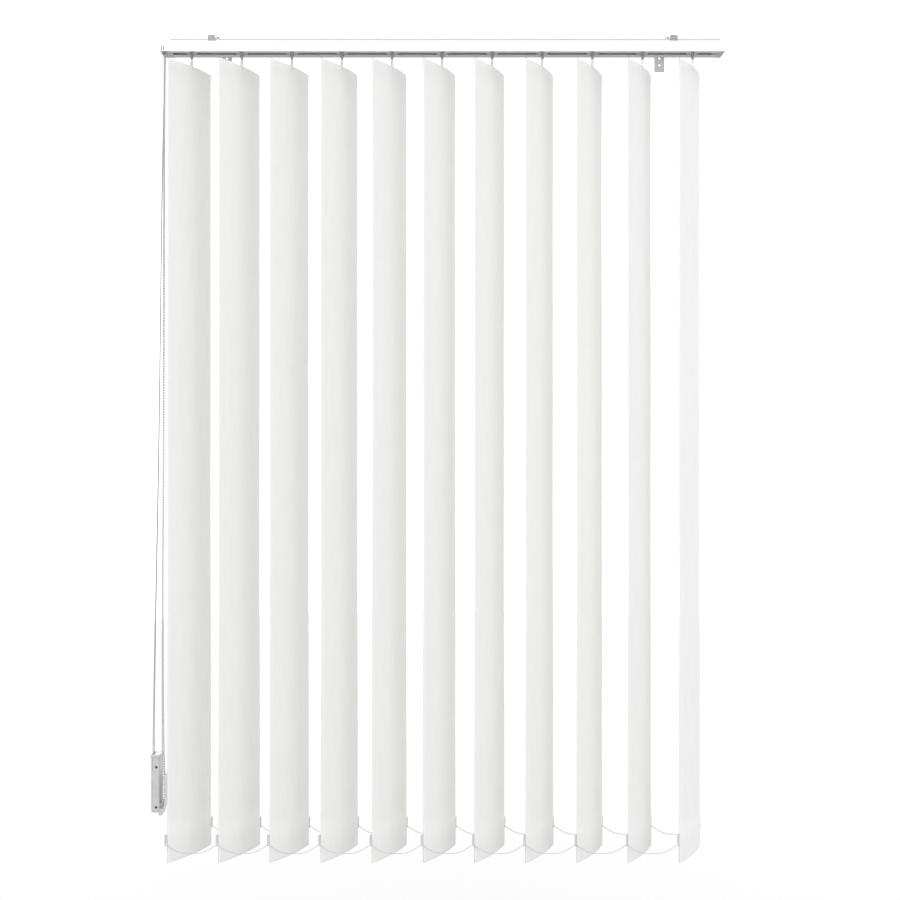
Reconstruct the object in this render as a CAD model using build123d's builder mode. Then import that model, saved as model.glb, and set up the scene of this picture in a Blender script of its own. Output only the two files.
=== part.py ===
"""Vertical blind with eleven louvres, an extruded headrail, carriers on a tilt rod, a chain and a cord."""

import os
from math import cos, pi, radians, sin, sqrt, tan

from build123d import *

os.makedirs("parts", exist_ok=True)

# Frame: X along the rail from its middle, Y = 0 on the wall with the room at -Y, Z = 0 mid screw pattern.

# Louvres and their spacing
louvre_count = 11
pitch = 112.0            # centre to centre, blind drawn across
stack_pitch = 28.0       # centre to centre, blind drawn back
first_x = -561.5         # turning axis of the louvre at the control end
louvre_y = -94.0         # all turning axes lie this far from the wall
louvre_width = 127.0
louvre_length = 1763.0
louvre_sag = 7.0         # rise of the curved section over its chord
rest_angle = 56.0        # chord from the rail's direction
fabric = 0.48
pocket_gap = 1.24        # room between the two layers of a pocket
pocket_half = pocket_gap / 2 + fabric
drop_to_louvre = 26.0    # rail underside to the louvre's top edge
top_pocket = 20.0
hem_pocket = 68.0
hem_fold = 1.0
edge_cut = 1.0           # a pocket is open at both edges
peg_cut = 2.0

# Headrail
rail_y = -92.0           # middle of the rail's depth
rail_low = -18.0
rail_height = 28.0
rail_depth = 38.0
rail_wall = 1.4
rail_slot = 13.0
bead_out = 1.0           # beads along both top edges, for the clips
bead_tall = 2.6
control_room = 43.5      # first axis to the rail's control end
idle_room = 57.0         # last axis to the rail's other end
rail_from = first_x - control_room
rail_to = first_x + pitch * (louvre_count - 1) + idle_room
rail_top = rail_low + rail_height
cap_depth = rail_depth + 2 * bead_out

# End pieces
housing_length = 24.0
housing_wall = 2.0
end_round = 1.2
strand_opening = 25.0    # across the rail, for both strands of the chain
cord_opening = 11.0
front_mark_tall = 14.0   # two narrow slots up the housing's front
front_mark_wide = 1.5
web_thick = 3.0
web_wide = 11.0
idle_plate = 12.0
idle_plug = 14.0
plug_wide = 17.0
plug_gap = 0.3
boss_inset = 5.3         # the boss's axis from the rail's end
boss_root = 8.0          # the boss's foot from the rod's axis
boss_over = 3.0          # past the cord

# Tilt rod, worms and pinions
rod_y = -84.4
rod_z = -4.5
rod_radius = 3.0
rod_groove = 1.2
rod_groove_deep = 0.8
rod_fit = 0.06
rod_end_gap = (0.5, 1.0)  # to the housing's wall, and past the rail's end
worm_radius = 4.0
worm_length = 16.0
worm_bore = 3.2
worm_grooves = 5
worm_groove_deep = 0.45
pinion_radius = 5.3
pinion_tall = 8.0
pinion_teeth = 14

# Carriers
carrier_length = 26.0
carrier_low = rail_low + rail_wall + 0.2
carrier_top = 4.0
foot_tall = 2.4
side_gap = 0.4
neck_gap = 0.5
void_gap = 0.4
cord_hole = 1.7
cord_y = -104.0
cord_z = (-8.0, 0.0)
strip_thick = 0.5
strip_tall = 3.4
strip_step = 1.8         # five strips stand side by side before the pattern repeats
strip_rows = 5
strip_foot = 0.5
strip_end = 8.0
strip_seat = 1.3
foot_out = 1.2           # the feet run in the rail's corners
neck_over = 0.6          # below the rail's underside

# Hooks
stem_radius = 3.2
stem_fit = 0.08
journal_radius = 2.0
cone_radius = 4.4
cone_low_radius = 2.7
prong_gap = 2.6
prong_thick = 1.2
prong_wide = 5.0
peg_radius = 1.6
peg_hole = 2.3
peg_below_top = 7.0
cone_tall = 13.0
cone_gap = 0.8
fork_root = 4.0
prong_past_peg = 3.5
journal_tall = 1.8
tooth_gap = 0.5

# Louvre fittings
insert_thick = 1.2
hanger_tall = 15.0
hanger_inset = 3.0
hanger_drop = 1.0
hanger_peg_fit = 0.2
weight_tall = 62.0
weight_inset = 1.0
weight_lift = 0.5
ear_out = 4.0
ear_tall = 20.0
ear_up = 53.0            # ear's middle above the louvre's lower edge
ear_wide = 12.0
ear_past_pin = 2.0
pin_in_ear = 1.0
pin_radius = 0.9
pin_drop = 5.0
ring_radius = 2.6
ring_bore = 1.3
ring_tall = 1.6

# Brackets
bracket_x = 503.0
bracket_wide = 24.0
bracket_thick = 2.0
plate_low = -24.0
screw_z = 8.0
screw_radius = 2.25
arm_front = -108.0
foot_round = 3.0
nose_round = 4.0
clip_thick = 1.0
clip_out = 512.5
clip_tab = 17.0
clip_lever = 7.0
clip_fit = 0.1
clip_seat = 4.0          # the lever's root, behind the rail's front
clip_past_bolt = 6.0
bolt_x = 501.0
bolt_y = -103.0
bolt_radius = 2.0
bolt_hole = 2.1
bolt_head = 3.4
bolt_head_tall = 3.0
bolt_socket = 1.5
bolt_socket_deep = 1.6
bolt_lift = 0.1

# Chain, cord and tensioner
chain_radius = 2.25
chain_x = -624.5
sprocket_pitch = 6.5
sprocket_radius = 3.9
sprocket_wide = 4.6
sprocket_flange = 6.2
flange_gap = 0.1
flange_thick = 1.2
cord_radius = 1.1
cord_x = -619.5
cord_exit_y = -97.5
strands_shift = 1.6      # the strands' middle, in front of the rod
tension_left = -672.5
tension_right = -652.0
tension_depth = 30.0
tension_low = -1738.0
tension_high = -1604.0
tension_wall = 2.5
tension_y = -16.0
cord_wheel_z = -1690.0
cord_wheel_x = -668.0
cord_wheel_pitch = 7.1
cord_wheel_wide = 4.0
chain_wheel_z = -1716.0
chain_wheel_x = -646.0
chain_wheel_pitch = 8.0
chain_wheel_wide = 5.2
axle_radius = 2.0
axle_fit = 0.06
wheel_clearance = 0.35
cord_rim = 1.6
chain_rim = 1.0
rim_side = 0.6
cord_axle_long = 18.0
chain_axle_in = 5.0
chain_axle_long = 20.0
axle_short = 0.5         # an axle ends this much short of its bore
cheek_x = -641.4
link_radius = 1.0        # bottom chain
bend_gap = 0.1           # each fixed bend is this much under its wheel's
short_side = 0.4         # the chain's back strand leaves the sprocket a little tighter
cord_end_gap = 0.6
cord_past_rail = 2.0
span_pitch = 112.0       # the pitch that the span's points are given for

louvre_high = rail_low - drop_to_louvre
louvre_low = louvre_high - louvre_length
arc_radius = ((louvre_width / 2) ** 2 + louvre_sag**2) / (2 * louvre_sag)
chord = (cos(radians(rest_angle)), sin(radians(rest_angle)), 0.0)
peg_z = louvre_high - peg_below_top
ear_low = louvre_low + ear_up - ear_tall / 2
ring_z = ear_low - pin_drop / 2


def station_x(index):
    return first_x + pitch * index


def station_plane(index, z):
    """A level plane on a louvre's axis, with its x along the chord and its y towards the hollow side."""
    return Plane(origin=(station_x(index), louvre_y, z), x_dir=chord, z_dir=(0, 0, 1))


def peg_plane(index):
    """An upright plane along the chord, square to the peg that the louvre hangs on."""
    return Plane(
        origin=(station_x(index), louvre_y, peg_z),
        x_dir=chord,
        z_dir=(-chord[1], chord[0], 0),
    )


def sag_at(half):
    return arc_radius - sqrt(arc_radius**2 - half**2)


def arc_band(half, low, high):
    """The outline of a strip of the louvre's curve, between two offsets from its middle line."""
    sag = sag_at(half)
    with BuildLine() as outline:
        ThreePointArc((-half, sag + low), (0, low), (half, sag + low))
        Line((half, sag + low), (half, sag + high))
        ThreePointArc((half, sag + high), (0, high), (-half, sag + high))
        Line((-half, sag + high), (-half, sag + low))
    return outline.edges()


def corner_radii(points, fixed):
    """The largest even bend that each corner's two runs leave room for, or the stated radius there."""
    radii = []
    for index in range(1, len(points) - 1):
        before = Vector(*points[index]) - Vector(*points[index - 1])
        after = Vector(*points[index + 1]) - Vector(*points[index])
        turn = radians(before.get_angle(after))
        room = 0.45 * min(before.length, after.length) / tan(turn / 2)
        radii.append(fixed.get(index, room))
    return radii


def make_tube(name, points, radius, fixed):
    """A round tube along straight runs joined by tangent arcs."""
    bends = corner_radii(points, fixed)
    with BuildLine() as route:
        FilletPolyline(*points, radius=bends)
    line = route.line
    length = sum(edge.length for edge in line.edges())
    with BuildPart() as tube:
        with BuildSketch(Plane(origin=line @ 0, z_dir=line % 0)):
            Circle(radius)
        sweep(path=line)
    share = tube.part.volume / (pi * radius**2 * length)
    rounded = [round(bend, 1) for bend in bends]
    print(name, "radii", rounded, "length", round(length, 1), "volume share", round(share, 4))
    return tube.part


def save(part, name):
    part.label = name
    export_step(part, "parts/" + name + ".step")


# Headrail: an extrusion with a slot along its underside and a bead along each top edge
def rail_outline(depth, low, high):
    with Locations((rail_y, (low + high) / 2)):
        Rectangle(depth, high - low)


with BuildPart() as headrail:
    with BuildSketch(Plane.YZ.offset(rail_from)):
        rail_outline(rail_depth, rail_low, rail_top)
        rail_outline(cap_depth, rail_top - bead_tall, rail_top)
        with Locations((rail_y, (rail_low + rail_top) / 2)):
            Rectangle(rail_depth - 2 * rail_wall, rail_height - 2 * rail_wall, mode=Mode.SUBTRACT)
        with Locations((louvre_y, rail_low + rail_wall / 2)):
            Rectangle(rail_slot, rail_wall * 1.5, mode=Mode.SUBTRACT)
    extrude(amount=rail_to - rail_from)
save(headrail.part, "headrail")

# Control end: a moulded casing that closes the rail and holds the sprocket
housing_from = rail_from - housing_length
inner_low = rail_low + housing_wall
inner_high = rail_top - housing_wall
chain_slot = 2 * chain_radius + 0.9
cord_slot = 2 * cord_radius + 1.4
with BuildPart() as control_housing:
    with BuildSketch(Plane.YZ.offset(housing_from)):
        rail_outline(cap_depth, rail_low, rail_top)
    extrude(amount=housing_length)
    outer = control_housing.faces().sort_by(Axis.X)[0].edges()
    fillet(outer, end_round)
    with BuildSketch(Plane.YZ.offset(housing_from + housing_wall)):
        rail_outline(cap_depth - 2 * housing_wall, inner_low, inner_high)
    extrude(amount=housing_length, mode=Mode.SUBTRACT)
    with BuildSketch(Plane.XY.offset(rail_low)):
        with Locations((chain_x, rod_y - strands_shift)):
            SlotOverall(strand_opening, chain_slot, rotation=90)
        with Locations((cord_x, cord_exit_y)):
            SlotOverall(cord_opening, cord_slot, rotation=90)
    extrude(amount=housing_wall * 2, both=True, mode=Mode.SUBTRACT)
    # two narrow slots up the front, under which the strands leave
    with BuildSketch(Plane.XZ.offset(-(rail_y - cap_depth / 2))):
        with Locations((chain_x, rail_low + 5.0), (cord_x, rail_low + 5.0)):
            SlotOverall(front_mark_tall, front_mark_wide, rotation=90)
    extrude(amount=-housing_wall, mode=Mode.SUBTRACT)
    # bearing web for the rod
    with BuildSketch(Plane.YZ.offset(rail_from - web_thick)):
        with Locations((rod_y, rod_z)):
            Rectangle(web_wide, 2 * (rod_z - inner_low))
            Circle(rod_radius + rod_fit, mode=Mode.SUBTRACT)
    extrude(amount=web_thick)
save(control_housing.part, "control_housing")

# Far end: a cap with a plug that carries the rod's end and the boss that the cord turns round
boss_x = rail_to - boss_inset
boss_from_y = rod_y - boss_root
turn_z = sum(cord_z) / 2
turn_radius = (cord_z[1] - cord_z[0]) / 2
with BuildPart() as idle_end_cap:
    with BuildSketch(Plane.YZ.offset(rail_to)):
        rail_outline(cap_depth, rail_low, rail_top)
    extrude(amount=idle_plate)
    fillet(idle_end_cap.faces().sort_by(Axis.X)[-1].edges(), end_round)
    with BuildSketch(Plane.YZ.offset(rail_to - idle_plug)):
        with Locations((rod_y - 1.0, (rail_low + rail_top) / 2)):
            Rectangle(plug_wide, rail_height - 2 * rail_wall - 2 * plug_gap)
    extrude(amount=idle_plug)
    with BuildSketch(Plane.YZ.offset(rail_to - idle_plug)):
        with Locations((rod_y, rod_z)):
            Circle(rod_radius + rod_fit)
    extrude(amount=idle_plug, mode=Mode.SUBTRACT)
    with BuildSketch(Plane.XZ.offset(-boss_from_y)):
        with Locations((boss_x, turn_z)):
            Circle(turn_radius - cord_radius - 0.1)
    extrude(amount=boss_from_y - cord_y + boss_over)
save(idle_end_cap.part, "idle_end_cap")

# Brackets: an arm over the rail and a plate on the wall, with two screw holes and a bolt hole
arm_low = rail_top + clip_thick
arm_high = arm_low + bracket_thick


def make_bracket(side):
    with BuildPart() as bracket:
        with BuildSketch(Plane.YZ.offset(side * bracket_x - bracket_wide / 2)):
            with BuildLine():
                Polyline(
                    (0, arm_high),
                    (arm_front, arm_high),
                    (arm_front, arm_low),
                    (-bracket_thick, arm_low),
                    (-bracket_thick, plate_low),
                    (0, plate_low),
                    close=True,
                )
            make_face()
        extrude(amount=bracket_wide)
        fillet(bracket.edges().filter_by(Axis.Y).group_by(Axis.Z)[0], foot_round)
        fillet(bracket.edges().filter_by(Axis.Z).group_by(Axis.Y)[0], nose_round)
        with BuildSketch(Plane.XZ):
            with Locations((side * bracket_x, screw_z), (side * bracket_x, -screw_z)):
                Circle(screw_radius)
        extrude(amount=bracket_thick * 2, both=True, mode=Mode.SUBTRACT)
        with BuildSketch(Plane.XY.offset(arm_low)):
            with Locations((side * bolt_x, bolt_y)):
                Circle(bolt_hole)
        extrude(amount=bracket_thick, mode=Mode.SUBTRACT)
    return bracket.part


save(make_bracket(-1), "wall_bracket_left")
save(make_bracket(1), "wall_bracket_right")

# Spring clips: a sprung plate between arm and rail that grips both beads, with a raised lever in front
lip_out = rail_y - cap_depth / 2 - clip_fit
lip_back = rail_y + cap_depth / 2 + clip_fit
under_bead = rail_top - bead_tall - clip_fit
hook_in = 0.8
clip_root = lip_out - clip_thick + clip_seat
with BuildPart() as spring_clips:
    for side in (-1, 1):
        inner = side * (bolt_x - clip_past_bolt)
        outer_x = side * (clip_out + clip_tab / 2)
        middle = (inner + outer_x) / 2
        wide = abs(outer_x - inner)
        with BuildSketch(Plane.YZ.offset(middle - wide / 2)):
            with BuildLine():
                Polyline(
                    (clip_root, arm_low),
                    (clip_root, rail_top),
                    (lip_back, rail_top),
                    (lip_back, under_bead),
                    (lip_back - hook_in, under_bead),
                    (lip_back - hook_in, under_bead - clip_thick),
                    (lip_back + clip_thick, under_bead - clip_thick),
                    (lip_back + clip_thick, arm_low),
                    close=True,
                )
            make_face()
        extrude(amount=wide)
        with BuildSketch(Plane.YZ.offset(side * clip_out - clip_tab / 2)):
            with BuildLine():
                Polyline(
                    (clip_root, arm_low),
                    (clip_root, rail_top),
                    (lip_out, rail_top),
                    (lip_out, under_bead),
                    (lip_out + hook_in, under_bead),
                    (lip_out + hook_in, under_bead - clip_thick),
                    (lip_out - clip_thick, under_bead - clip_thick),
                    (lip_out - clip_thick, arm_low + clip_lever),
                    (lip_out, arm_low + clip_lever),
                    (lip_out, arm_low),
                    close=True,
                )
            make_face()
        extrude(amount=clip_tab)
        with BuildSketch(Plane.XY.offset(rail_top)):
            with Locations((side * bolt_x, bolt_y)):
                Circle(bolt_hole)
        extrude(amount=clip_thick, mode=Mode.SUBTRACT)
save(spring_clips.part, "spring_clips")

# Bolts that hold the clips to the arms
with BuildPart() as clip_bolts:
    for side in (-1, 1):
        with BuildSketch(Plane.XY.offset(rail_top + bolt_lift)):
            with Locations((side * bolt_x, bolt_y)):
                Circle(bolt_radius)
        extrude(amount=arm_high - rail_top - bolt_lift)
        with BuildSketch(Plane.XY.offset(arm_high)):
            with Locations((side * bolt_x, bolt_y)):
                Circle(bolt_head)
        extrude(amount=bolt_head_tall)
        with BuildSketch(Plane.XY.offset(arm_high + bolt_head_tall)):
            with Locations((side * bolt_x, bolt_y)):
                RegularPolygon(bolt_socket, 6)
        extrude(amount=-bolt_socket_deep, mode=Mode.SUBTRACT)
save(clip_bolts.part, "clip_bolts")

# Tilt rod: a round bar with four grooves along it
rod_from = housing_from + housing_wall + rod_end_gap[0]
rod_to = rail_to - rod_end_gap[1]
with BuildPart() as tilt_rod:
    with BuildSketch(Plane.YZ.offset(rod_from)):
        with Locations((rod_y, rod_z)):
            Circle(rod_radius)
            with PolarLocations(rod_radius, 4):
                Rectangle(2 * rod_groove_deep, rod_groove, mode=Mode.SUBTRACT)
    extrude(amount=rod_to - rod_from)
save(tilt_rod.part, "tilt_rod")

# Sprocket that the chain turns
with BuildPart() as chain_sprocket:
    with BuildSketch(Plane.YZ.offset(chain_x - sprocket_wide / 2)):
        with Locations((rod_y, rod_z)):
            Circle(sprocket_radius)
            Circle(rod_radius, mode=Mode.SUBTRACT)
    extrude(amount=sprocket_wide + flange_gap)
    with BuildSketch(Plane.YZ.offset(chain_x + sprocket_wide / 2 + flange_gap)):
        with Locations((rod_y, rod_z)):
            Circle(sprocket_flange)
            Circle(rod_radius, mode=Mode.SUBTRACT)
    extrude(amount=flange_thick)
save(chain_sprocket.part, "chain_sprocket")


# One carrier: body, worm on the rod, and the strip that sets the spacing to the next carrier
def make_carrier(index):
    x = station_x(index)
    half_room = rail_depth / 2 - rail_wall - side_gap
    strip_y = louvre_y - 2.0 + strip_step * (index % strip_rows - strip_rows // 2)
    with BuildPart() as carrier:
        with BuildSketch(Plane.YZ.offset(x - carrier_length / 2)):
            with BuildLine():
                Polyline(
                    (rail_y - half_room, carrier_low),
                    (rail_y + half_room, carrier_low),
                    (rail_y + half_room, carrier_low + foot_tall),
                    (rail_y + half_room - foot_out, carrier_low + foot_tall),
                    (rail_y + half_room - foot_out, carrier_top),
                    (rail_y - half_room + foot_out, carrier_top),
                    (rail_y - half_room + foot_out, carrier_low + foot_tall),
                    (rail_y - half_room, carrier_low + foot_tall),
                    close=True,
                )
            make_face()
            with Locations((rod_y, rod_z)):
                Circle(worm_radius + void_gap, mode=Mode.SUBTRACT)
            with Locations((cord_y, cord_z[0]), (cord_y, cord_z[1])):
                Circle(cord_hole, mode=Mode.SUBTRACT)
        extrude(amount=carrier_length)
        # neck in the rail's slot
        with BuildSketch(Plane.XY.offset(carrier_low)):
            with Locations((x, louvre_y)):
                Circle(rail_slot / 2 - neck_gap)
        extrude(amount=-(carrier_low - rail_low + neck_over))
        with BuildSketch(Plane.XY.offset(rod_z - pinion_tall / 2 - void_gap)):
            with Locations((x, louvre_y)):
                Circle(pinion_radius + void_gap)
        extrude(amount=pinion_tall + 2 * void_gap, mode=Mode.SUBTRACT)
        with BuildSketch(Plane.XY.offset(rail_low - 1.0)):
            with Locations((x, louvre_y)):
                Circle(stem_radius + stem_fit)
        extrude(amount=rod_z - rail_low, mode=Mode.SUBTRACT)
        with BuildSketch(Plane.XY.offset(rod_z)):
            with Locations((x, louvre_y)):
                Circle(journal_radius + stem_fit)
        extrude(amount=carrier_top - rod_z - 1.0, mode=Mode.SUBTRACT)
        with BuildSketch(Plane.XY.offset(carrier_top)):
            with Locations((x, strip_y)):
                Rectangle(2 * strip_end, strip_seat)
        extrude(amount=strip_foot)
    worm_from = x - worm_length / 2
    step = worm_length / (worm_grooves + 1)
    with BuildPart() as worm:
        with BuildSketch(Plane.YZ.offset(worm_from)):
            with Locations((rod_y, rod_z)):
                Circle(worm_radius)
                Circle(worm_bore, mode=Mode.SUBTRACT)
        extrude(amount=worm_length)
        for groove in range(worm_grooves):
            with BuildSketch(Plane.YZ.offset(worm_from + step * (groove + 1) - step / 4)):
                with Locations((rod_y, rod_z)):
                    Circle(worm_radius + 1.0)
                    Circle(worm_radius - worm_groove_deep, mode=Mode.SUBTRACT)
            extrude(amount=step / 2, mode=Mode.SUBTRACT)
    pieces = [carrier.part, worm.part]
    if index < louvre_count - 1:
        with BuildPart() as strip:
            with BuildSketch(Plane.XY.offset(carrier_top + strip_foot)):
                with Locations((x + pitch / 2, strip_y)):
                    Rectangle(pitch + 2 * strip_end, strip_thick)
            extrude(amount=strip_tall)
        pieces.append(strip.part)
    return Compound(children=pieces)


# One hook: pinion, stem and a two-prong clip with a peg across it
def make_hook(index):
    x = station_x(index)
    cone_high = rail_low - cone_gap
    cone_low = cone_high - cone_tall
    prong_low = peg_z - prong_past_peg
    fork_low = cone_low - fork_root
    with BuildPart() as hook:
        with BuildSketch(Plane.XY.offset(rod_z - pinion_tall / 2)):
            with Locations((x, louvre_y)):
                Circle(pinion_radius)
                with PolarLocations(pinion_radius, pinion_teeth):
                    Circle(tooth_gap, mode=Mode.SUBTRACT)
        extrude(amount=pinion_tall)
        with BuildSketch(Plane.XY.offset(rod_z + pinion_tall / 2)):
            with Locations((x, louvre_y)):
                Circle(journal_radius)
        extrude(amount=journal_tall)
        with BuildSketch(Plane.XY.offset(cone_high)):
            with Locations((x, louvre_y)):
                Circle(stem_radius)
        extrude(amount=rod_z - pinion_tall / 2 - cone_high)
        with BuildSketch(Plane.XY.offset(cone_high)):
            with Locations((x, louvre_y)):
                Circle(cone_radius)
        with BuildSketch(Plane.XY.offset(cone_low)):
            with Locations((x, louvre_y)):
                Circle(cone_low_radius)
        loft()
        with BuildSketch(station_plane(index, cone_low)):
            Rectangle(prong_wide, prong_gap + 2 * prong_thick)
        extrude(amount=-fork_root)
        with BuildSketch(station_plane(index, fork_low)):
            middle = prong_gap / 2 + prong_thick / 2
            with Locations((0, middle), (0, -middle)):
                Rectangle(prong_wide, prong_thick)
        extrude(amount=prong_low - fork_low)
        with BuildSketch(peg_plane(index)):
            Circle(peg_radius)
        extrude(amount=prong_gap / 2 + prong_thick / 2, both=True)
    return hook.part


# One louvre: a curved strip of cloth with a welded pocket at each end
def make_louvre(index):
    half = louvre_width / 2
    with BuildPart() as louvre:
        with BuildSketch(station_plane(index, louvre_low)):
            make_face(arc_band(half, -fabric / 2, fabric / 2))
        extrude(amount=louvre_length)
        with BuildSketch(station_plane(index, louvre_low)):
            make_face(arc_band(half, -pocket_half, pocket_half))
        extrude(amount=hem_pocket)
        with BuildSketch(station_plane(index, louvre_high - top_pocket)):
            make_face(arc_band(half, -pocket_half, pocket_half))
        extrude(amount=top_pocket)
        with BuildSketch(station_plane(index, louvre_low + hem_fold)):
            make_face(arc_band(half + edge_cut, -pocket_gap / 2, pocket_gap / 2))
        extrude(amount=hem_pocket - 2 * hem_fold, mode=Mode.SUBTRACT)
        with BuildSketch(station_plane(index, louvre_high - top_pocket + hem_fold)):
            make_face(arc_band(half + edge_cut, -pocket_gap / 2, pocket_gap / 2))
        extrude(amount=top_pocket - 2 * hem_fold, mode=Mode.SUBTRACT)
        with BuildSketch(peg_plane(index)):
            Circle(peg_hole)
        extrude(amount=peg_cut, both=True, mode=Mode.SUBTRACT)
    return louvre.part


# Louvre fittings: the hanger in the top pocket, and the weight with an ear and a pin at each side
def make_fittings(index):
    half = louvre_width / 2
    thick = insert_thick / 2
    hanger_low = louvre_high - hem_fold - hanger_drop - hanger_tall
    with BuildPart() as hanger:
        with BuildSketch(station_plane(index, hanger_low)):
            make_face(arc_band(half - hanger_inset, -thick, thick))
        extrude(amount=hanger_tall)
        with BuildSketch(peg_plane(index)):
            Circle(peg_hole - hanger_peg_fit)
        extrude(amount=peg_cut, both=True, mode=Mode.SUBTRACT)
    with BuildPart() as weight:
        with BuildSketch(station_plane(index, louvre_low + hem_fold + weight_lift)):
            make_face(arc_band(half - weight_inset, -thick, thick))
        extrude(amount=weight_tall)
        pin_at = half + ear_out
        with BuildSketch(station_plane(index, ear_low)):
            make_face(arc_band(pin_at + ear_past_pin, -thick, thick))
            Rectangle(2 * (half - ear_wide), 6 * louvre_sag, mode=Mode.SUBTRACT)
        extrude(amount=ear_tall)
        with BuildSketch(station_plane(index, ear_low + pin_in_ear)):
            with Locations((-pin_at, sag_at(pin_at)), (pin_at, sag_at(pin_at))):
                Circle(pin_radius)
        extrude(amount=-(pin_drop + pin_in_ear))
    return Compound(children=[hanger.part, weight.part])


for index in range(louvre_count):
    number = f"{index + 1:02d}"
    save(make_carrier(index), "carrier_" + number)
    save(make_hook(index), "hook_" + number)
    save(make_louvre(index), "louvre_" + number)
    save(make_fittings(index), "louvre_fittings_" + number)


# Bottom chains: a ring on each ear's pin and a hanging span between rings
span_points = ((2.2, 0.0), (15.0, -9.5), (35.0, -18.5), (77.0, -18.5), (97.0, -9.5), (109.8, 0.0))


def make_bottom_chain(side, name):
    pin_at = louvre_width / 2 + ear_out
    pin = station_plane(0, ring_z).from_local_coords(Vector(side * pin_at, sag_at(pin_at), 0))
    spans = []
    for index in range(louvre_count - 1):
        start = pin.X + pitch * index
        points = [(start + along * pitch / span_pitch, pin.Y, ring_z + up) for along, up in span_points]
        spans.append(make_tube(name, points, link_radius, {}))
    with BuildPart() as chain:
        with BuildSketch(Plane.XY.offset(ring_z - ring_tall / 2)):
            with Locations(*[(pin.X + pitch * index, pin.Y) for index in range(louvre_count)]):
                Circle(ring_radius)
                Circle(ring_bore, mode=Mode.SUBTRACT)
        extrude(amount=ring_tall)
        add(spans)
    return chain.part


save(make_bottom_chain(-1, "bottom_chain_front"), "bottom_chain_front")
save(make_bottom_chain(1, "bottom_chain_rear"), "bottom_chain_rear")

# Tilt chain: one loop over the sprocket and round the tensioner's wheel, in two halves
sprocket_top = rod_z + sprocket_pitch
chain_bottom = chain_wheel_z - chain_wheel_pitch
chain_front = [
    (chain_x, rod_y, sprocket_top),
    (chain_x, rod_y - sprocket_pitch, sprocket_top),
    (-625.5, -91.0, -600.0),
    (-626.0, -91.4, -900.0),
    (-637.0, -62.0, -1240.0),
    (-646.2, -27.5, -1595.0),
    (chain_wheel_x, tension_y - chain_wheel_pitch, -1650.0),
    (chain_wheel_x, tension_y - chain_wheel_pitch, chain_bottom),
    (chain_wheel_x, tension_y, chain_bottom),
]
chain_back = [
    (chain_x, rod_y, sprocket_top),
    (chain_x, rod_y + sprocket_pitch, sprocket_top),
    (chain_x, -80.0, -44.0),
    (-625.5, -84.0, -600.0),
    (-626.0, -84.2, -900.0),
    (-637.0, -54.0, -1240.0),
    (-646.2, -15.0, -1595.0),
    (chain_wheel_x, tension_y + chain_wheel_pitch, -1650.0),
    (chain_wheel_x, tension_y + chain_wheel_pitch, chain_bottom),
    (chain_wheel_x, tension_y, chain_bottom),
]
over_sprocket = sprocket_pitch - bend_gap
round_wheel = chain_wheel_pitch - bend_gap
front_bends = {1: over_sprocket, 7: round_wheel}
back_bends = {1: over_sprocket - short_side, 8: round_wheel}
front_half = make_tube("tilt_chain front", chain_front, chain_radius, front_bends)
back_half = make_tube("tilt_chain back", chain_back, chain_radius, back_bends)
save(Compound(children=[front_half, back_half]), "tilt_chain")

# Traverse cord: a loop round the tensioner's pulley, and the run inside the rail
cord_bottom = cord_wheel_z - cord_wheel_pitch
cord_end = inner_low - cord_end_gap
cord_points = [
    (cord_x, -99.0, cord_end),
    (-625.5, -99.2, -200.0),
    (-630.0, -99.0, -568.0),
    (-633.5, -99.0, -860.0),
    (-645.3, -76.0, -1128.0),
    (-657.7, -50.0, -1358.0),
    (-668.2, -26.0, -1595.0),
    (cord_wheel_x, tension_y - cord_wheel_pitch, -1650.0),
    (cord_wheel_x, tension_y - cord_wheel_pitch, cord_bottom),
    (cord_wheel_x, tension_y + cord_wheel_pitch, cord_bottom),
    (cord_wheel_x, tension_y + cord_wheel_pitch, -1650.0),
    (-668.2, -16.0, -1595.0),
    (-657.7, -43.0, -1358.0),
    (-645.3, -70.0, -1128.0),
    (-633.5, -95.6, -860.0),
    (-630.0, -95.8, -568.0),
    (-625.5, -95.8, -200.0),
    (cord_x, -96.0, cord_end),
]
cord_bends = {8: cord_wheel_pitch - bend_gap / 2, 9: cord_wheel_pitch - bend_gap / 2}
loop = make_tube("traverse_cord", cord_points, cord_radius, cord_bends)
inner_start = rail_from - cord_past_rail
inner_points = [
    (inner_start, cord_y, cord_z[1]),
    (boss_x + turn_radius, cord_y, cord_z[1]),
    (boss_x + turn_radius, cord_y, cord_z[0]),
    (inner_start, cord_y, cord_z[0]),
]
inner_bends = {1: turn_radius - bend_gap / 2, 2: turn_radius - bend_gap / 2}
inner_run = make_tube("traverse_cord in the rail", inner_points, cord_radius, inner_bends)
save(Compound(children=[loop, inner_run]), "traverse_cord")

# Tensioner: a box on the wall, open on top for the cord, with a bowed cheek outside the chain's wheel
tension_x = (tension_left + tension_right) / 2
tension_wide = tension_right - tension_left
tension_tall = tension_high - tension_low
cap_tall = 5.0
cap_over = 1.5
cord_room = 5.4
window_wide = 15.0
window_tall = 33.0
window_deep = 1.5
window_x = -661.0
window_high = -1610.0
groove_left = -668.4
groove_right = -659.0
groove_deep = 0.8
fixing_x = -660.0
fixing_z = (-1633.0, -1725.0)
fixing_radius = 1.8
fixing_head = 3.4
fixing_seat = 3.0        # plastic left under each sunk head
groove_margin = 2.0
groove_low = 8.0
front_round = 4.0
foot_corner = 6.0
cap_round = 2.0
front = -tension_depth
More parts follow.
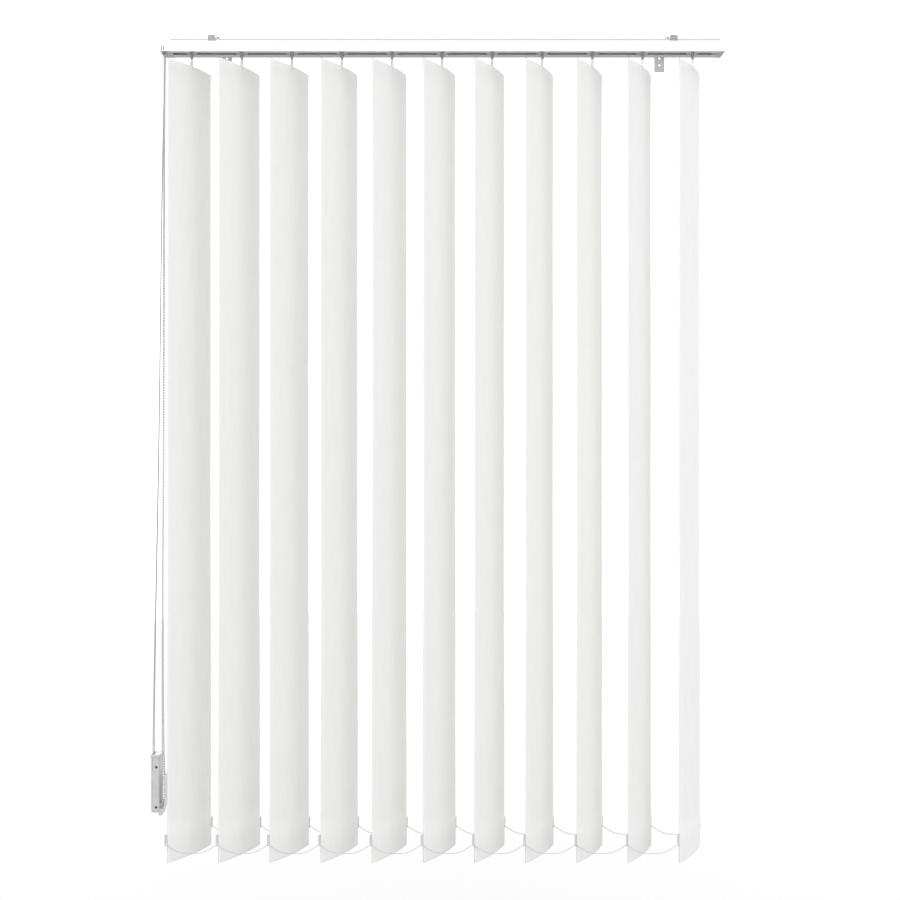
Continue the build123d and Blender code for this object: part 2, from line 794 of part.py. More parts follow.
# the cheek's outline in X and Z: outside from top to foot, then the inside back up
cheek_top = (cheek_x, -1652.0)
cheek_foot = (-647.0, -1744.0)
cheek_root = tension_right - 3.0
cheek_floor = -1729.0
cheek_middle = -1700.0
cheek_out = -638.6
cheek_in = -643.1
cheek_bow = -641.2
cheek_short = 2.0
with BuildPart() as tensioner_body:
    with BuildSketch(Plane.XY.offset(tension_low)):
        with Locations((tension_x, front / 2)):
            Rectangle(tension_wide, tension_depth)
    extrude(amount=tension_tall)
    fillet(tensioner_body.edges().filter_by(Axis.Z).group_by(Axis.Y)[0], front_round)
    fillet(tensioner_body.edges().filter_by(Axis.Y).group_by(Axis.Z)[0].sort_by(Axis.X)[0], foot_corner)
    with BuildSketch(Plane.XY.offset(tension_high - cap_tall)):
        with Locations((tension_x, (front - cap_over) / 2)):
            RectangleRounded(tension_wide + 2 * cap_over, tension_depth + cap_over, cap_round)
    extrude(amount=cap_tall)
    # cheek, bowed out past the wheel and open above
    with BuildSketch(Plane.XZ):
        with BuildLine():
            ThreePointArc(cheek_top, (cheek_out, cheek_middle), cheek_foot)
            Line(cheek_foot, (cheek_root, cheek_foot[1]))
            Line((cheek_root, cheek_foot[1]), (cheek_root, cheek_floor))
            Line((cheek_root, cheek_floor), (cheek_in, cheek_floor))
            ThreePointArc((cheek_in, cheek_floor), (cheek_bow, cheek_middle), (cheek_in, cheek_top[1] - 3.0))
            Line((cheek_in, cheek_top[1] - 3.0), cheek_top)
        make_face()
    extrude(amount=tension_depth - cheek_short)
    # room for the cord and its pulley, open through the cap
    with BuildSketch(Plane.XY.offset(tension_low + tension_wall)):
        with Locations((cord_wheel_x, front / 2)):
            Rectangle(cord_room, tension_depth - 2 * tension_wall)
    extrude(amount=tension_tall, mode=Mode.SUBTRACT)
    # square recess under the cap and a long shallow groove below it
    with BuildSketch(Plane.XZ.offset(tension_depth)):
        with Locations((window_x, window_high - window_tall / 2)):
            Rectangle(window_wide, window_tall)
    extrude(amount=-window_deep, mode=Mode.SUBTRACT)
    with BuildSketch(Plane.XZ.offset(tension_depth)):
        groove_high = window_high - window_tall - groove_margin
        groove_foot = tension_low + groove_low
        with Locations(((groove_left + groove_right) / 2, (groove_high + groove_foot) / 2)):
            Rectangle(groove_right - groove_left, groove_high - groove_foot)
    extrude(amount=-groove_deep, mode=Mode.SUBTRACT)
    # axle bores
    with BuildSketch(Plane.YZ.offset(tension_left - 1.0)):
        with Locations((tension_y, cord_wheel_z)):
            Circle(axle_radius + axle_fit)
    extrude(amount=cord_axle_long, mode=Mode.SUBTRACT)
    with BuildSketch(Plane.YZ.offset(tension_right - chain_axle_in)):
        with Locations((tension_y, chain_wheel_z)):
            Circle(axle_radius + axle_fit)
    extrude(amount=chain_axle_long, mode=Mode.SUBTRACT)
    # wall screw holes with sunk heads
    with BuildSketch(Plane.XZ):
        with Locations(*[(fixing_x, z) for z in fixing_z]):
            Circle(fixing_radius)
    extrude(amount=tension_depth + 1.0, mode=Mode.SUBTRACT)
    with BuildSketch(Plane.XZ.offset(fixing_seat)):
        with Locations(*[(fixing_x, z) for z in fixing_z]):
            Circle(fixing_head)
    extrude(amount=tension_depth, mode=Mode.SUBTRACT)
save(tensioner_body.part, "tensioner_body")


# Wheels of the tensioner, each turned in one piece with its axle
def make_wheel(x, z, groove, rim, half_wide, from_x, to_x):
    with BuildPart() as wheel:
        with BuildSketch(Plane.YZ.offset(x - half_wide)):
            with Locations((tension_y, z)):
                Circle(rim)
        extrude(amount=2 * half_wide)
        with BuildSketch(Plane.YZ.offset(x - half_wide + rim_side)):
            with Locations((tension_y, z)):
                Circle(rim + 1.0)
                Circle(groove, mode=Mode.SUBTRACT)
        extrude(amount=2 * (half_wide - rim_side), mode=Mode.SUBTRACT)
        with BuildSketch(Plane.YZ.offset(from_x)):
            with Locations((tension_y, z)):
                Circle(axle_radius)
        extrude(amount=to_x - from_x)
    return wheel.part


cord_groove = cord_wheel_pitch - cord_radius - wheel_clearance
save(
    make_wheel(
        cord_wheel_x, cord_wheel_z, cord_groove, cord_groove + cord_rim, cord_wheel_wide / 2,
        tension_left + axle_short, tension_left + cord_axle_long - 3 * axle_short,
    ),
    "cord_pulley",
)
chain_groove = chain_wheel_pitch - chain_radius - wheel_clearance
save(
    make_wheel(
        chain_wheel_x, chain_wheel_z, chain_groove, chain_groove + chain_rim, chain_wheel_wide / 2,
        tension_right - chain_axle_in + axle_short, cheek_x + 3 * axle_short,
    ),
    "chain_wheel",
)
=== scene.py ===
import math

import bmesh
import bpy
import numpy as np
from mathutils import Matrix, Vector


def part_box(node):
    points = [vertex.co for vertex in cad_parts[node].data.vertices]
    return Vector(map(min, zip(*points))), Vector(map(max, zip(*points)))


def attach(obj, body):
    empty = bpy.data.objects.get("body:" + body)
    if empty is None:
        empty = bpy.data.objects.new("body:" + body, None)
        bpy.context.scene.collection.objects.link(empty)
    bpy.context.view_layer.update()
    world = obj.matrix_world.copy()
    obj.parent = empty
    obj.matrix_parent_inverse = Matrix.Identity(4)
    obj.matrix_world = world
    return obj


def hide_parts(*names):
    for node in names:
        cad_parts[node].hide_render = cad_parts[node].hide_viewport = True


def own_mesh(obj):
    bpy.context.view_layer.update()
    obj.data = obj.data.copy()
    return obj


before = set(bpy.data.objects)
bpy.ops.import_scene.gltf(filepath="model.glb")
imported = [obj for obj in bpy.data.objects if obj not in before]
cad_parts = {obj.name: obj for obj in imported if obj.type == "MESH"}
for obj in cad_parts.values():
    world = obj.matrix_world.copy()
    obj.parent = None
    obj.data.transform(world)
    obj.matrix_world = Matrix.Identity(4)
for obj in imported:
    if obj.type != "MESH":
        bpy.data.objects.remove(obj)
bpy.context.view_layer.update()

louvreCount = 11
mm = 0.001


# helpers

def numbered(index):
    return f"{index + 1:02d}"


def linear(hexColour):
    channels = [int(hexColour[i:i + 2], 16) / 255 for i in (1, 3, 5)]
    return [c / 12.92 if c <= 0.04045 else ((c + 0.055) / 1.055) ** 2.4 for c in channels] + [1.0]


def addNode(tree, kind, values=None, links=None, **settings):
    node = tree.nodes.new(kind)
    for key, value in settings.items():
        setattr(node, key, value)
    for key, value in (values or {}).items():
        node.inputs[key].default_value = value
    for key, source in (links or {}).items():
        tree.links.new(source, node.inputs[key])
    return node


def newMaterial(name, colour, roughness, **shader):
    material = bpy.data.materials.new(name)
    material.use_nodes = True
    tree = material.node_tree
    principled = tree.nodes["Principled BSDF"]
    principled.inputs["Base Color"].default_value = linear(colour)
    principled.inputs["Roughness"].default_value = roughness
    for key, value in shader.items():
        principled.inputs[key.replace("_", " ")].default_value = value
    return material, tree, principled


def addBump(tree, principled, height, strength, distance):
    bump = addNode(tree, "ShaderNodeBump", {"Strength": strength, "Distance": distance}, {"Height": height})
    tree.links.new(bump.outputs["Normal"], principled.inputs["Normal"])


def varyColour(tree, principled, factor, dark, light):
    ramp = addNode(tree, "ShaderNodeValToRGB", links={"Fac": factor})
    ramp.color_ramp.elements[0].color = linear(dark)
    ramp.color_ramp.elements[1].color = linear(light)
    tree.links.new(ramp.outputs["Color"], principled.inputs["Base Color"])


def noiseOn(tree, coordinate, perMetre, detail=3.0):
    return addNode(tree, "ShaderNodeTexNoise", {"Scale": perMetre, "Detail": detail}, {"Vector": coordinate})


def bandsOn(tree, coordinate, direction, spacing):
    # a wave texture repeats 20 / (2 pi) times each unit at scale 1
    return addNode(
        tree, "ShaderNodeTexWave",
        {"Scale": 2 * math.pi / 20 / spacing, "Distortion": 0.4, "Detail": 1.0, "Detail Scale": 2.0},
        {"Vector": coordinate}, bands_direction=direction,
    )


def layColour(tree, principled, factor, colour):
    # inputs 6 and 7 and output 2 are a Mix node's colours: the one below, the one on top, and the result
    base = principled.inputs["Base Color"]
    mix = addNode(tree, "ShaderNodeMix", {7: linear(colour)}, {0: factor}, data_type="RGBA")
    tree.links.new(base.links[0].from_socket, mix.inputs[6])
    tree.links.new(mix.outputs[2], base)


def toneByHeight(tree, principled, place, shadeSteps):
    # each step is a height and the painted shade above it, from the lowest up
    soften = 0.4 * mm
    split = addNode(tree, "ShaderNodeSeparateXYZ", links={0: place})
    for height, colour in shadeSteps:
        above = addNode(
            tree, "ShaderNodeMapRange",
            {"From Min": height - soften, "From Max": height + soften}, {"Value": split.outputs["Z"]},
        )
        layColour(tree, principled, above.outputs[0], colour)


def shadeUnderside(tree, principled, colour):
    # painted shade on faces that look down, fading in as the normal's Z goes from startsAt to fullAt
    startsAt, fullAt = -0.5, -0.8
    normal = addNode(tree, "ShaderNodeTexCoord").outputs["Normal"]
    facing = addNode(tree, "ShaderNodeSeparateXYZ", links={0: normal})
    paintedUnderShade = addNode(
        tree, "ShaderNodeMapRange",
        {"From Min": startsAt, "From Max": fullAt}, {"Value": facing.outputs["Z"]},
    )
    layColour(tree, principled, paintedUnderShade.outputs[0], colour)


# materials

def louvreCloth():
    # woven polyester, resin-stiffened: matt white with a faint slubbed grid and a soft edge sheen
    # real threads are 0.4 mm, drawn coarser to show
    sizes = {"warp": 1.5 * mm, "weft": 1.2 * mm, "slub": 9.0 * mm}
    material, tree, principled = newMaterial("wovenPolyester", "#F1F1EE", 0.82, Sheen_Weight=0.12)
    principled.inputs["Sheen Roughness"].default_value = 0.5
    uv = addNode(tree, "ShaderNodeUVMap", uv_map="clothUV").outputs["UV"]
    warp = bandsOn(tree, uv, "X", sizes["warp"])
    weft = bandsOn(tree, uv, "Y", sizes["weft"])
    stretch = addNode(tree, "ShaderNodeMapping", {"Scale": (1.0, 0.12, 1.0)}, {"Vector": uv})
    slub = noiseOn(tree, stretch.outputs["Vector"], 1 / sizes["slub"])
    crossing = {0: warp.outputs["Fac"], 1: weft.outputs["Fac"]}
    weave = addNode(tree, "ShaderNodeMath", links=crossing, operation="MULTIPLY")
    raised = {0: weave.outputs[0], 1: slub.outputs["Fac"]}
    height = addNode(tree, "ShaderNodeMath", links=raised, operation="ADD")
    varyColour(tree, principled, slub.outputs["Fac"], "#EEEEEA", "#F6F6F4")
    addBump(tree, principled, height.outputs[0], 0.22, 0.12 * mm)
    return material


def railPaint():
    # powder-coated aluminium: glossy white with a faint orange peel, brighter than the cloth
    sizes = {"peel": 1.6 * mm, "drift": 60 * mm, "bead": 7.4 * mm}
    material, tree, principled = newMaterial("powderCoatedAluminium", "#FAFAFA", 0.32, Coat_Weight=0.25)
    principled.inputs["Coat Roughness"].default_value = 0.2
    place = addNode(tree, "ShaderNodeTexCoord").outputs["Object"]
    peel = noiseOn(tree, place, 1 / sizes["peel"], 1.0)
    drift = noiseOn(tree, place, 1 / sizes["drift"])
    varyColour(tree, principled, drift.outputs["Fac"], "#F6F6F6", "#FDFDFD")
    # painted shade along the top bead, and painted shade on the underside
    toneByHeight(tree, principled, place, [(sizes["bead"], "#D4D5D6")])
    shadeUnderside(tree, principled, "#808286")
    addBump(tree, principled, peel.outputs["Fac"], 0.10, 0.05 * mm)
    return material


def mouldedPlastic(name, dark, light, roughness, grain=0.9 * mm, shadeSteps=(), paintedUnderShade=None):
    # injection-moulded: even colour with a fine spark-eroded grain that softens highlights
    material, tree, principled = newMaterial(name, light, roughness)
    place = addNode(tree, "ShaderNodeTexCoord").outputs["Object"]
    fine = noiseOn(tree, place, 1 / grain, 2.0)
    broad = noiseOn(tree, place, 1 / (22 * mm))
    varyColour(tree, principled, broad.outputs["Fac"], dark, light)
    # painted shade: bands by height, and on faces that look down
    toneByHeight(tree, principled, place, shadeSteps)
    if paintedUnderShade:
        shadeUnderside(tree, principled, paintedUnderShade)
    addBump(tree, principled, fine.outputs["Fac"], 0.15, 0.04 * mm)
    return material


def rolledSteel(name, dark, light, roughness, metallic):
    # sheet steel: fine lines along the strip, with slightly uneven reflections
    material, tree, principled = newMaterial(name, light, roughness, Metallic=metallic)
    place = addNode(tree, "ShaderNodeTexCoord").outputs["Object"]
    along = addNode(tree, "ShaderNodeMapping", {"Scale": (1.0, 0.06, 0.06)}, {"Vector": place})
    lines = noiseOn(tree, along.outputs["Vector"], 1 / (0.8 * mm))
    varyColour(tree, principled, lines.outputs["Fac"], dark, light)
    addBump(tree, principled, lines.outputs["Fac"], 0.12, 0.03 * mm)
    return material


def braidedPolyester():
    # braided cord: soft white with a slanted plait that breaks its highlight
    material, tree, principled = newMaterial("braidedPolyester", "#DADADA", 0.75, Sheen_Weight=0.2)
    place = addNode(tree, "ShaderNodeTexCoord").outputs["Object"]
    plait = bandsOn(tree, place, "DIAGONAL", 1.6 * mm)  # a plait is 0.8 mm, drawn coarser to show
    varyColour(tree, principled, plait.outputs["Fac"], "#A2A2A2", "#C8C8C8")
    addBump(tree, principled, plait.outputs["Fac"], 0.3, 0.1 * mm)
    return material


cloth = louvreCloth()
rail = railPaint()
# the caps and carriers get painted shade on their undersides
capPlastic = mouldedPlastic("mouldedABS", "#F3F3F3", "#F9F9F9", 0.36, paintedUnderShade="#8A8C90")
carrierPlastic = mouldedPlastic("mouldedAcetal", "#DCDCDC", "#E8E8E8", 0.42, paintedUnderShade="#9A9C9F")
# light prongs, painted shade on the cone above them, and a paler painted shade on the stem inside the rail
hookShadeSteps = [(-31.0 * mm, "#828486"), (-18.5 * mm, "#BCBDBE")]
hookPlastic = mouldedPlastic("hookPolycarbonateWithPaintedShade", "#E4E4E4", "#ECECEC", 0.28, shadeSteps=hookShadeSteps)
weightPlastic = mouldedPlastic("greyPolypropylene", "#C6C8C8", "#D8DADA", 0.4)
tensionerPlastic = mouldedPlastic("frostedPolycarbonate", "#C2C4C4", "#DADCDC", 0.22)
beadPlastic = mouldedPlastic("beadNylon", "#B8B8B8", "#D0D0D0", 0.3)
bracketSteel = rolledSteel("whiteCoatedSteel", "#B4B6B8", "#CDCFD0", 0.42, 0.0)
clipSteel = rolledSteel("springSteel", "#86888A", "#A6A8AA", 0.4, 0.2)
boltSteel = rolledSteel("darkZincSteel", "#4A4B4D", "#6A6B6D", 0.38, 0.9)
rodMetal = rolledSteel("millAluminium", "#B4B5B7", "#D6D7D9", 0.34, 1.0)
cordBraid = braidedPolyester()
print("materials made")

nodeFinish = {
    "headrail": rail, "control_housing": capPlastic, "idle_end_cap": capPlastic,
    "wall_bracket_left": bracketSteel, "wall_bracket_right": bracketSteel,
    "spring_clips": clipSteel, "clip_bolts": boltSteel, "tilt_rod": rodMetal,
    "chain_sprocket": carrierPlastic, "tensioner_body": tensionerPlastic,
    "cord_pulley": carrierPlastic, "chain_wheel": carrierPlastic,
}
for index in range(louvreCount):
    nodeFinish["carrier_" + numbered(index)] = carrierPlastic
    nodeFinish["hook_" + numbered(index)] = hookPlastic
    nodeFinish["louvre_fittings_" + numbered(index)] = weightPlastic
for name, material in nodeFinish.items():
    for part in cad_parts[name].material_slots:
        part.material = material
print("carried-over nodes finished")


# camera and studio

def makeCamera():
    view = {"place": (0.016, -2.377, -0.903), "lens": 40.84, "sensor": 36.0}
    data = bpy.data.cameras.new("camera")
    data.lens = view["lens"]
    data.sensor_width = view["sensor"]
    camera = bpy.data.objects.new("camera", data)
    camera.location = view["place"]
    camera.rotation_euler = (math.pi / 2, 0, 0)
    bpy.context.collection.objects.link(camera)
    bpy.context.scene.camera = camera


def aimedLight(name, place, target, size, power, colour):
    data = bpy.data.lights.new(name, "AREA")
    data.shape = "DISK"
    data.size = size
    data.energy = power
    data.color = linear(colour)[:3]
    light = bpy.data.objects.new(name, data)
    light.location = place
    light.rotation_euler = (Vector(target) - Vector(place)).to_track_quat("-Z", "Y").to_euler()
    bpy.context.collection.objects.link(light)


room = {
    "floor": -2.15, "radius": 7.0, "bend": 1.5, "bendSteps": 9, "wall": 6.0, "turns": 96, "glow": 0.97,
    "lightBelow": 0.55, "lightAbove": 1.1, "horizon": 0.4,
}
lamps = [
    ("key", (-2.4, -3.4, 0.6), (0.1, -0.1, -0.8), 2.6, 41, "#FFFEF8"),
    ("fill", (2.8, -2.6, -0.2), (0.2, -0.1, -0.9), 2.4, 20, "#EEF5FF"),
    ("backFill", (0.5, 3.6, 0.8), (0.0, 0.0, -0.8), 3.0, 40, "#FFFFFF"),
]


def makeFloor():
    # an open bowl of pale paper: a flat floor that bends up into a round wall
    outline = [(room["radius"] - room["bend"], room["floor"])]
    for step in range(1, room["bendSteps"] + 1):
        angle = math.pi / 2 * step / room["bendSteps"]
        outline.append((
            room["radius"] - room["bend"] + room["bend"] * math.sin(angle),
            room["floor"] + room["bend"] * (1 - math.cos(angle)),
        ))
    outline.append((room["radius"], room["floor"] + room["wall"]))
    mesh = bmesh.new()
    rings = []
    for radius, height in outline:
        ring = []
        for turn in range(room["turns"]):
            angle = 2 * math.pi * turn / room["turns"]
            ring.append(mesh.verts.new((radius * math.cos(angle), radius * math.sin(angle), height)))
        rings.append(ring)
    mesh.faces.new(rings[0])
    for low, high in zip(rings, rings[1:]):
        for turn in range(room["turns"]):
            after = (turn + 1) % room["turns"]
            mesh.faces.new((low[turn], low[after], high[after], high[turn]))
    data = bpy.data.meshes.new("studioFloor")
    mesh.to_mesh(data)
    mesh.free()
    for face in data.polygons:
        face.use_smooth = True
    paper, tree, principled = newMaterial("palePaper", "#FFFFFF", 0.9)
    principled.inputs["Emission Color"].default_value = (1, 1, 1, 1)
    principled.inputs["Emission Strength"].default_value = room["glow"]
    data.materials.append(paper)
    floor = bpy.data.objects.new("studioFloor", data)
    floor.visible_diffuse = False
    bpy.context.collection.objects.link(floor)


def makeWorld():
    # brighter above the horizon than below it
    world = bpy.data.worlds.new("studio")
    world.use_nodes = True
    sky = world.node_tree
    direction = addNode(sky, "ShaderNodeTexCoord").outputs["Generated"]
    height = addNode(sky, "ShaderNodeSeparateXYZ", links={0: direction})
    span = {
        "From Min": -room["horizon"], "From Max": room["horizon"],
        "To Min": room["lightBelow"], "To Max": room["lightAbove"],
    }
    level = addNode(sky, "ShaderNodeMapRange", span, {"Value": height.outputs["Z"]})
    sky.nodes["Background"].inputs["Color"].default_value = (1, 1, 1, 1)
    sky.links.new(level.outputs[0], sky.nodes["Background"].inputs["Strength"])
    bpy.context.scene.world = world
    bpy.context.scene.view_settings.view_transform = "Standard"


makeCamera()
makeFloor()
makeWorld()
for lamp in lamps:
    aimedLight(*lamp)
print("camera and studio made")


# cords: the route's points in metres, one open smooth curve each

def makeSpline(name, points, cyclic=False):
    data = bpy.data.curves.new(name, "CURVE")
    data.dimensions = "3D"
    data.resolution_u = 24
    spline = data.splines.new("NURBS")
    spline.points.add(len(points) - 1)
    for target, point in zip(spline.points, points):
        target.co = (*point, 1.0)
    spline.order_u = 3
    spline.use_endpoint_u = True
    curve = bpy.data.objects.new(name, data)
    bpy.context.collection.objects.link(curve)
    return curve


def splineLine(curve):
    bpy.context.view_layer.update()
    line = bpy.data.meshes.new_from_object(curve.evaluated_get(bpy.context.evaluated_depsgraph_get()))
    points = [tuple(v.co) for v in line.vertices]
    bpy.data.meshes.remove(line)
    return points


def lineLength(points):
    return sum(math.dist(a, b) for a, b in zip(points, points[1:]))


def beadTree():
    # beads spaced along a curve, strung on a thin core
    tree = bpy.data.node_groups.new("beadString", "GeometryNodeTree")
    for label, kind in (
        ("Geometry", "NodeSocketGeometry"),
        ("Spacing", "NodeSocketFloat"),
        ("Bead Radius", "NodeSocketFloat"),
        ("Core Radius", "NodeSocketFloat"),
        ("Finish", "NodeSocketMaterial"),
    ):
        tree.interface.new_socket(name=label, in_out="INPUT", socket_type=kind)
    tree.interface.new_socket(name="Geometry", in_out="OUTPUT", socket_type="NodeSocketGeometry")
    source = addNode(tree, "NodeGroupInput").outputs
    spaced = addNode(
        tree, "GeometryNodeResampleCurve",
        links={"Curve": source["Geometry"], "Length": source["Spacing"]}, mode="LENGTH",
    )
    bead = addNode(
        tree, "GeometryNodeMeshUVSphere", {"Segments": 10, "Rings": 6}, {"Radius": source["Bead Radius"]},
    )
    smooth = addNode(tree, "GeometryNodeSetShadeSmooth", links={"Geometry": bead.outputs["Mesh"]})
    beads = addNode(
        tree, "GeometryNodeInstanceOnPoints",
        links={"Points": spaced.outputs["Curve"], "Instance": smooth.outputs["Geometry"]},
    )
    circle = addNode(
        tree, "GeometryNodeCurvePrimitiveCircle", {"Resolution": 6}, {"Radius": source["Core Radius"]},
    )
    core = addNode(
        tree, "GeometryNodeCurveToMesh", {"Fill Caps": True},
        {"Curve": spaced.outputs["Curve"], "Profile Curve": circle.outputs["Curve"]},
    )
    joined = addNode(tree, "GeometryNodeJoinGeometry")
    tree.links.new(beads.outputs["Instances"], joined.inputs["Geometry"])
    tree.links.new(core.outputs["Mesh"], joined.inputs["Geometry"])
    real = addNode(tree, "GeometryNodeRealizeInstances", links={"Geometry": joined.outputs["Geometry"]})
    finish = addNode(
        tree, "GeometryNodeSetMaterial",
        links={"Geometry": real.outputs["Geometry"], "Material": source["Finish"]},
    )
    addNode(tree, "NodeGroupOutput", links={"Geometry": finish.outputs["Geometry"]})
    return tree


beadString = beadTree()


def applyTree(name, carrier, tree, values):
    modifier = carrier.modifiers.new("maker", "NODES")
    modifier.node_group = tree
    for item in tree.interface.items_tree:
        if item.in_out == "INPUT" and item.name in values:
            modifier[item.identifier] = values[item.name]
    bpy.context.view_layer.update()
    made = bpy.data.meshes.new_from_object(carrier.evaluated_get(bpy.context.evaluated_depsgraph_get()))
    carrier.modifiers.remove(modifier)
    made.name = name
    bpy.data.objects.remove(carrier)
    piece = bpy.data.objects.new(name, made)
    bpy.context.collection.objects.link(piece)
    return piece


tiltChain = {
    "diameter": 4.5 * mm, "spacing": 6.0 * mm, "core": 0.7 * mm,
    "points": [
        (-0.6245, -0.0909, -0.018), (-0.6255, -0.0910, -0.600), (-0.6260, -0.0914, -0.900),
        (-0.6370, -0.0620, -1.240), (-0.6462, -0.0275, -1.595), (-0.6460, -0.0240, -1.650),
        (-0.6460, -0.0250, -1.697), (-0.6460, -0.0252, -1.7252), (-0.6460, -0.0068, -1.7252),
        (-0.6460, -0.0070, -1.697), (-0.6460, -0.0080, -1.650), (-0.6462, -0.0150, -1.595),
        (-0.6370, -0.0540, -1.240), (-0.6260, -0.0842, -0.900), (-0.6255, -0.0840, -0.600),
        (-0.6245, -0.0800, -0.044), (-0.6245, -0.0788, -0.018),
    ],
}
chainCurve = makeSpline("tiltChainRoute", tiltChain["points"])
chainLine = splineLine(chainCurve)
chainPiece = applyTree("tiltChain", chainCurve, beadString, {
    "Spacing": tiltChain["spacing"], "Bead Radius": tiltChain["diameter"] / 2,
    "Core Radius": tiltChain["core"], "Finish": beadPlastic,
})
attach(chainPiece, "rail")
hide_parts("tilt_chain")

traverseCord = {
    "diameter": 2.2 * mm,
    "points": [
        (-0.6195, -0.0990, -0.018), (-0.6255, -0.0992, -0.200), (-0.6300, -0.0990, -0.568),
        (-0.6335, -0.0990, -0.860), (-0.6453, -0.0760, -1.128), (-0.6577, -0.0500, -1.358),
        (-0.6682, -0.0260, -1.595), (-0.6680, -0.0231, -1.650), (-0.6680, -0.0238, -1.684),
        (-0.6680, -0.0238, -1.6978), (-0.6680, -0.0082, -1.6978), (-0.6680, -0.0082, -1.684),
        (-0.6680, -0.0089, -1.650), (-0.6682, -0.0160, -1.595), (-0.6577, -0.0430, -1.358),
        (-0.6453, -0.0700, -1.128), (-0.6335, -0.0956, -0.860), (-0.6300, -0.0958, -0.568),
        (-0.6255, -0.0958, -0.200), (-0.6195, -0.0960, -0.018),
    ],
    "inRail": [
        (-0.607, -0.104, 0.0), (0.590, -0.104, 0.0), (0.6142, -0.104, 0.0),
        (0.6142, -0.104, -0.008), (0.590, -0.104, -0.008), (-0.607, -0.104, -0.008),
    ],
}


def bevelled(curve, diameter):
    curve.data.bevel_depth = diameter / 2
    curve.data.bevel_resolution = 3
    curve.data.use_fill_caps = True
    curve.data.materials.append(cordBraid)
    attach(curve, "rail")


cordPiece = makeSpline("traverseCord", traverseCord["points"])
cordLine = splineLine(cordPiece)
bevelled(cordPiece, traverseCord["diameter"])
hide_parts("traverse_cord")
bevelled(makeSpline("traverseCordInRail", traverseCord["inRail"]), traverseCord["diameter"])
print("chain and cord made", round(lineLength(chainLine), 3), round(lineLength(cordLine), 3))

# bottom chains: a span of small beads between each two ears, and a ring on each ear's pin

bottomChain = {
    "bead": 1.1 * mm, "core": 0.4 * mm, "spacing": 3.2 * mm, "pitch": 112 * mm, "stackPitch": 28 * mm,
    "ringOut": 2.6 * mm, "ringHalfTall": 0.8 * mm,
}
# one span's route along and up from a pin, in millimetres
spanPoints = [(2.2, 0.0), (15.0, -9.5), (35.0, -18.5), (77.0, -18.5), (97.0, -9.5), (109.8, 0.0)]
ringSize = {"radius": 2.3 * mm, "wire": 0.55 * mm, "around": 16, "section": 8}


def ringMesh(mesh, centre):
    rings = []
    for turn in range(ringSize["around"]):
        angle = 2 * math.pi * turn / ringSize["around"]
        ring = []
        for step in range(ringSize["section"]):
            tilt = 2 * math.pi * step / ringSize["section"]
            out = ringSize["radius"] - ringSize["wire"] + ringSize["wire"] * math.cos(tilt)
            up = ringSize["wire"] * math.sin(tilt)
            reach = Vector((out * math.cos(angle), out * math.sin(angle), up))
            ring.append(mesh.verts.new(Vector(centre) + reach))
        rings.append(ring)
    for turn in range(ringSize["around"]):
        low, high = rings[turn], rings[(turn + 1) % ringSize["around"]]
        for step in range(ringSize["section"]):
            after = (step + 1) % ringSize["section"]
            face = mesh.faces.new((low[step], high[step], high[after], low[after]))
            face.smooth = True


def makeBottomChain(side, body):
    low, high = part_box(body)
    pinY = (low[1] + high[1]) / 2
    pinX = low[0] + bottomChain["ringOut"]
    ringZ = high[2] - bottomChain["ringHalfTall"]
    mesh = bmesh.new()
    for index in range(louvreCount):
        ringMesh(mesh, (pinX + bottomChain["pitch"] * index, pinY, ringZ))
    for index in range(louvreCount - 1):
        start = pinX + bottomChain["pitch"] * index
        points = [(start + along * mm, pinY, ringZ + up * mm) for along, up in spanPoints]
        route = makeSpline(body + "Route", points)
        span = applyTree(body + "Span", route, beadString, {
            "Spacing": bottomChain["spacing"], "Bead Radius": bottomChain["bead"],
            "Core Radius": bottomChain["core"], "Finish": beadPlastic,
        })
        mesh.from_mesh(span.data)
        bpy.data.objects.remove(span)
    data = bpy.data.meshes.new(side + "BottomChain")
    mesh.to_mesh(data)
    mesh.free()
    data.materials.append(beadPlastic)
    piece = bpy.data.objects.new(side + "BottomChain", data)
    bpy.context.collection.objects.link(piece)
    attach(piece, body)
    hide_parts(body)
    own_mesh(piece)


makeBottomChain("front", "bottom_chain_front")
makeBottomChain("rear", "bottom_chain_rear")
print("bottom chains made")

# louvres: one strip of cloth each, folded back at both ends into a welded pocket

louvre = {
    "width": 127 * mm, "sag": 7 * mm, "angle": math.radians(56),
    "first": -0.5615, "pitch": 112 * mm, "y": -0.094, "high": -0.044, "length": 1.763,
    "hem": 68 * mm, "top": 20 * mm, "cloth": 0.42 * mm,
    "layer": 0.86 * mm,                     # a pocket's layers lie this far either side of the middle
    "lip": 0.4 * mm, "close": 3 * mm,       # past a weld, and the run in which a pocket closes to it
    "fold": 4 * mm, "foldSteps": 7,         # the top fold's straight start, and points round each fold
    "across": 28, "rows": 64, "seed": 40,
}
# slow waves in the free cloth; they fade out towards both ends
ripple = {
    "height": 0.35 * mm, "slow": 4.1, "fast": 9.7, "fastShare": 0.6, "slant": 14,
    "fromLow": 90 * mm, "fromHigh": 50 * mm, "fade": 0.2,
}
arcRadius = ((louvre["width"] / 2) ** 2 + louvre["sag"] ** 2) / (2 * louvre["sag"])


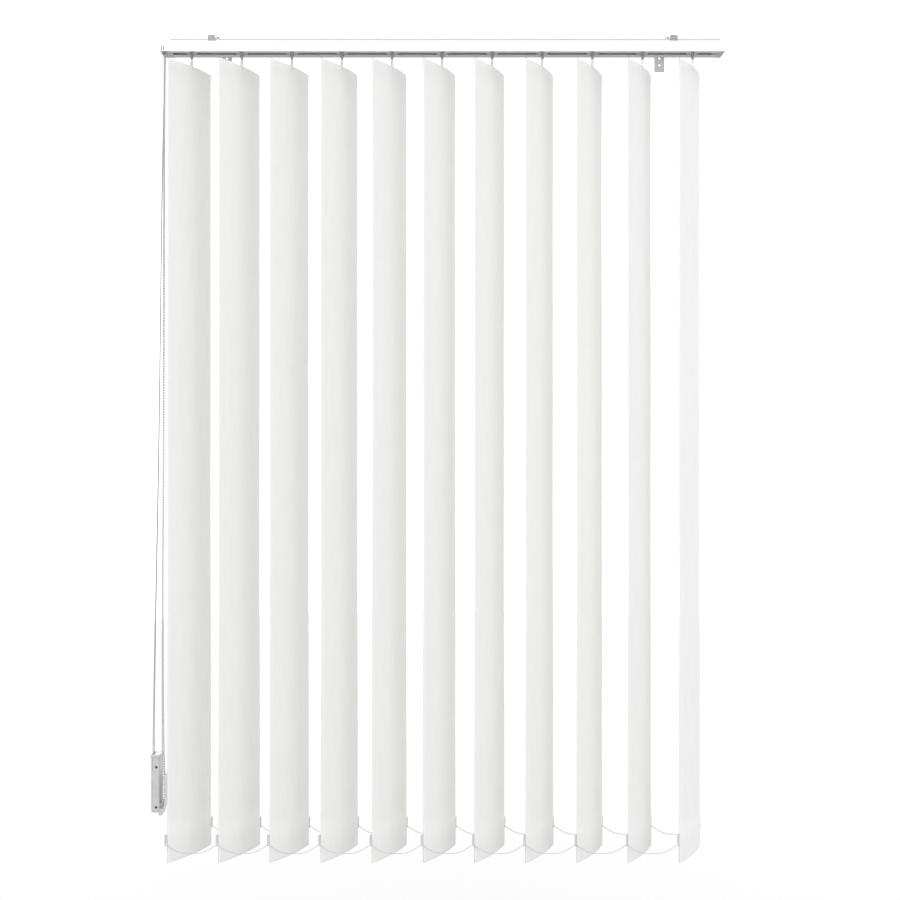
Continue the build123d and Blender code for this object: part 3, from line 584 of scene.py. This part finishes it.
def stripPath():
    # offset and height of each row, from one weld round both folds to the other
    high, low = louvre["high"], louvre["high"] - louvre["length"]
    layer, hem, close = louvre["layer"], louvre["hem"], louvre["close"]
    bottom, top = low + hem + louvre["lip"], high - louvre["top"] - louvre["lip"]
    turns = np.linspace(0, math.pi, louvre["foldSteps"])
    path = [(louvre["cloth"], bottom), (layer, low + hem - close)]
    path += [(layer, low + hem * (1 - t)) for t in (0.3, 0.6, 0.9)]
    path += [(layer * math.cos(a), low + layer - layer * math.sin(a)) for a in turns]
    path += [(-layer, low + hem * t) for t in (0.1, 0.4, 0.7)]
    path += [(-layer, low + hem - close), (0.0, bottom)]
    path += [(0.0, bottom + (top - bottom) * t) for t in np.linspace(0, 1, louvre["rows"])[1:]]
    path += [(-layer, top + close), (-layer, high - louvre["fold"])]
    path += [(-layer * math.cos(a), high - layer + layer * math.sin(a)) for a in turns]
    path += [(layer, high - louvre["fold"]), (layer, top + close), (louvre["cloth"], top)]
    return path


def stripLengths(path):
    runs = [0.0]
    for before, after in zip(path, path[1:]):
        runs.append(runs[-1] + math.dist(before, after))
    return runs


def rippleAt(phase, along, height):
    low = louvre["high"] - louvre["length"] + ripple["fromLow"]
    high = louvre["high"] - ripple["fromHigh"]
    free = max(0.0, min((height - low) / ripple["fade"], (high - height) / ripple["fade"], 1.0))
    slow = math.sin(ripple["slow"] * height + phase[0])
    fast = math.sin(ripple["fast"] * height + phase[1] + ripple["slant"] * along)
    return free * ripple["height"] * (slow + ripple["fastShare"] * fast)


def makeLouvre(index, path):
    phase = np.random.default_rng(louvre["seed"] + index).uniform(0, 2 * math.pi, 3)
    chordX, chordY = math.cos(louvre["angle"]), math.sin(louvre["angle"])
    centre = louvre["first"] + louvre["pitch"] * index
    runs = stripLengths(path)
    mesh = bmesh.new()
    layer = mesh.loops.layers.uv.new("clothUV")
    grid = []
    for offset, height in path:
        line = []
        for step in range(louvre["across"] + 1):
            along = louvre["width"] * (step / louvre["across"] - 0.5)
            arc = arcRadius - math.sqrt(arcRadius ** 2 - along * along)
            out = arc + offset + rippleAt(phase, along, height)
            x = centre + along * chordX - out * chordY
            y = louvre["y"] + along * chordY + out * chordX
            line.append(mesh.verts.new((x, y, height)))
        grid.append(line)
    for row in range(len(path) - 1):
        for step in range(louvre["across"]):
            corners = ((row, step), (row, step + 1), (row + 1, step + 1), (row + 1, step))
            face = mesh.faces.new([grid[r][s] for r, s in corners])
            face.smooth = True
            for loop, (r, s) in zip(face.loops, corners):
                loop[layer].uv = (louvre["width"] * s / louvre["across"], runs[r])
    name = "louvreCloth" + numbered(index)
    data = bpy.data.meshes.new(name)
    mesh.to_mesh(data)
    mesh.free()
    data.materials.append(cloth)
    piece = bpy.data.objects.new(name, data)
    bpy.context.collection.objects.link(piece)
    thick = piece.modifiers.new("thickness", "SOLIDIFY")
    thick.thickness = louvre["cloth"]
    thick.offset = 0.0
    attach(piece, "louvre_" + numbered(index))
    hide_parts("louvre_" + numbered(index))
    return runs[-1]


path = stripPath()
for index in range(louvreCount):
    flatLength = makeLouvre(index, path)
print("louvres made, each cut", round(flatLength, 4), "m long")
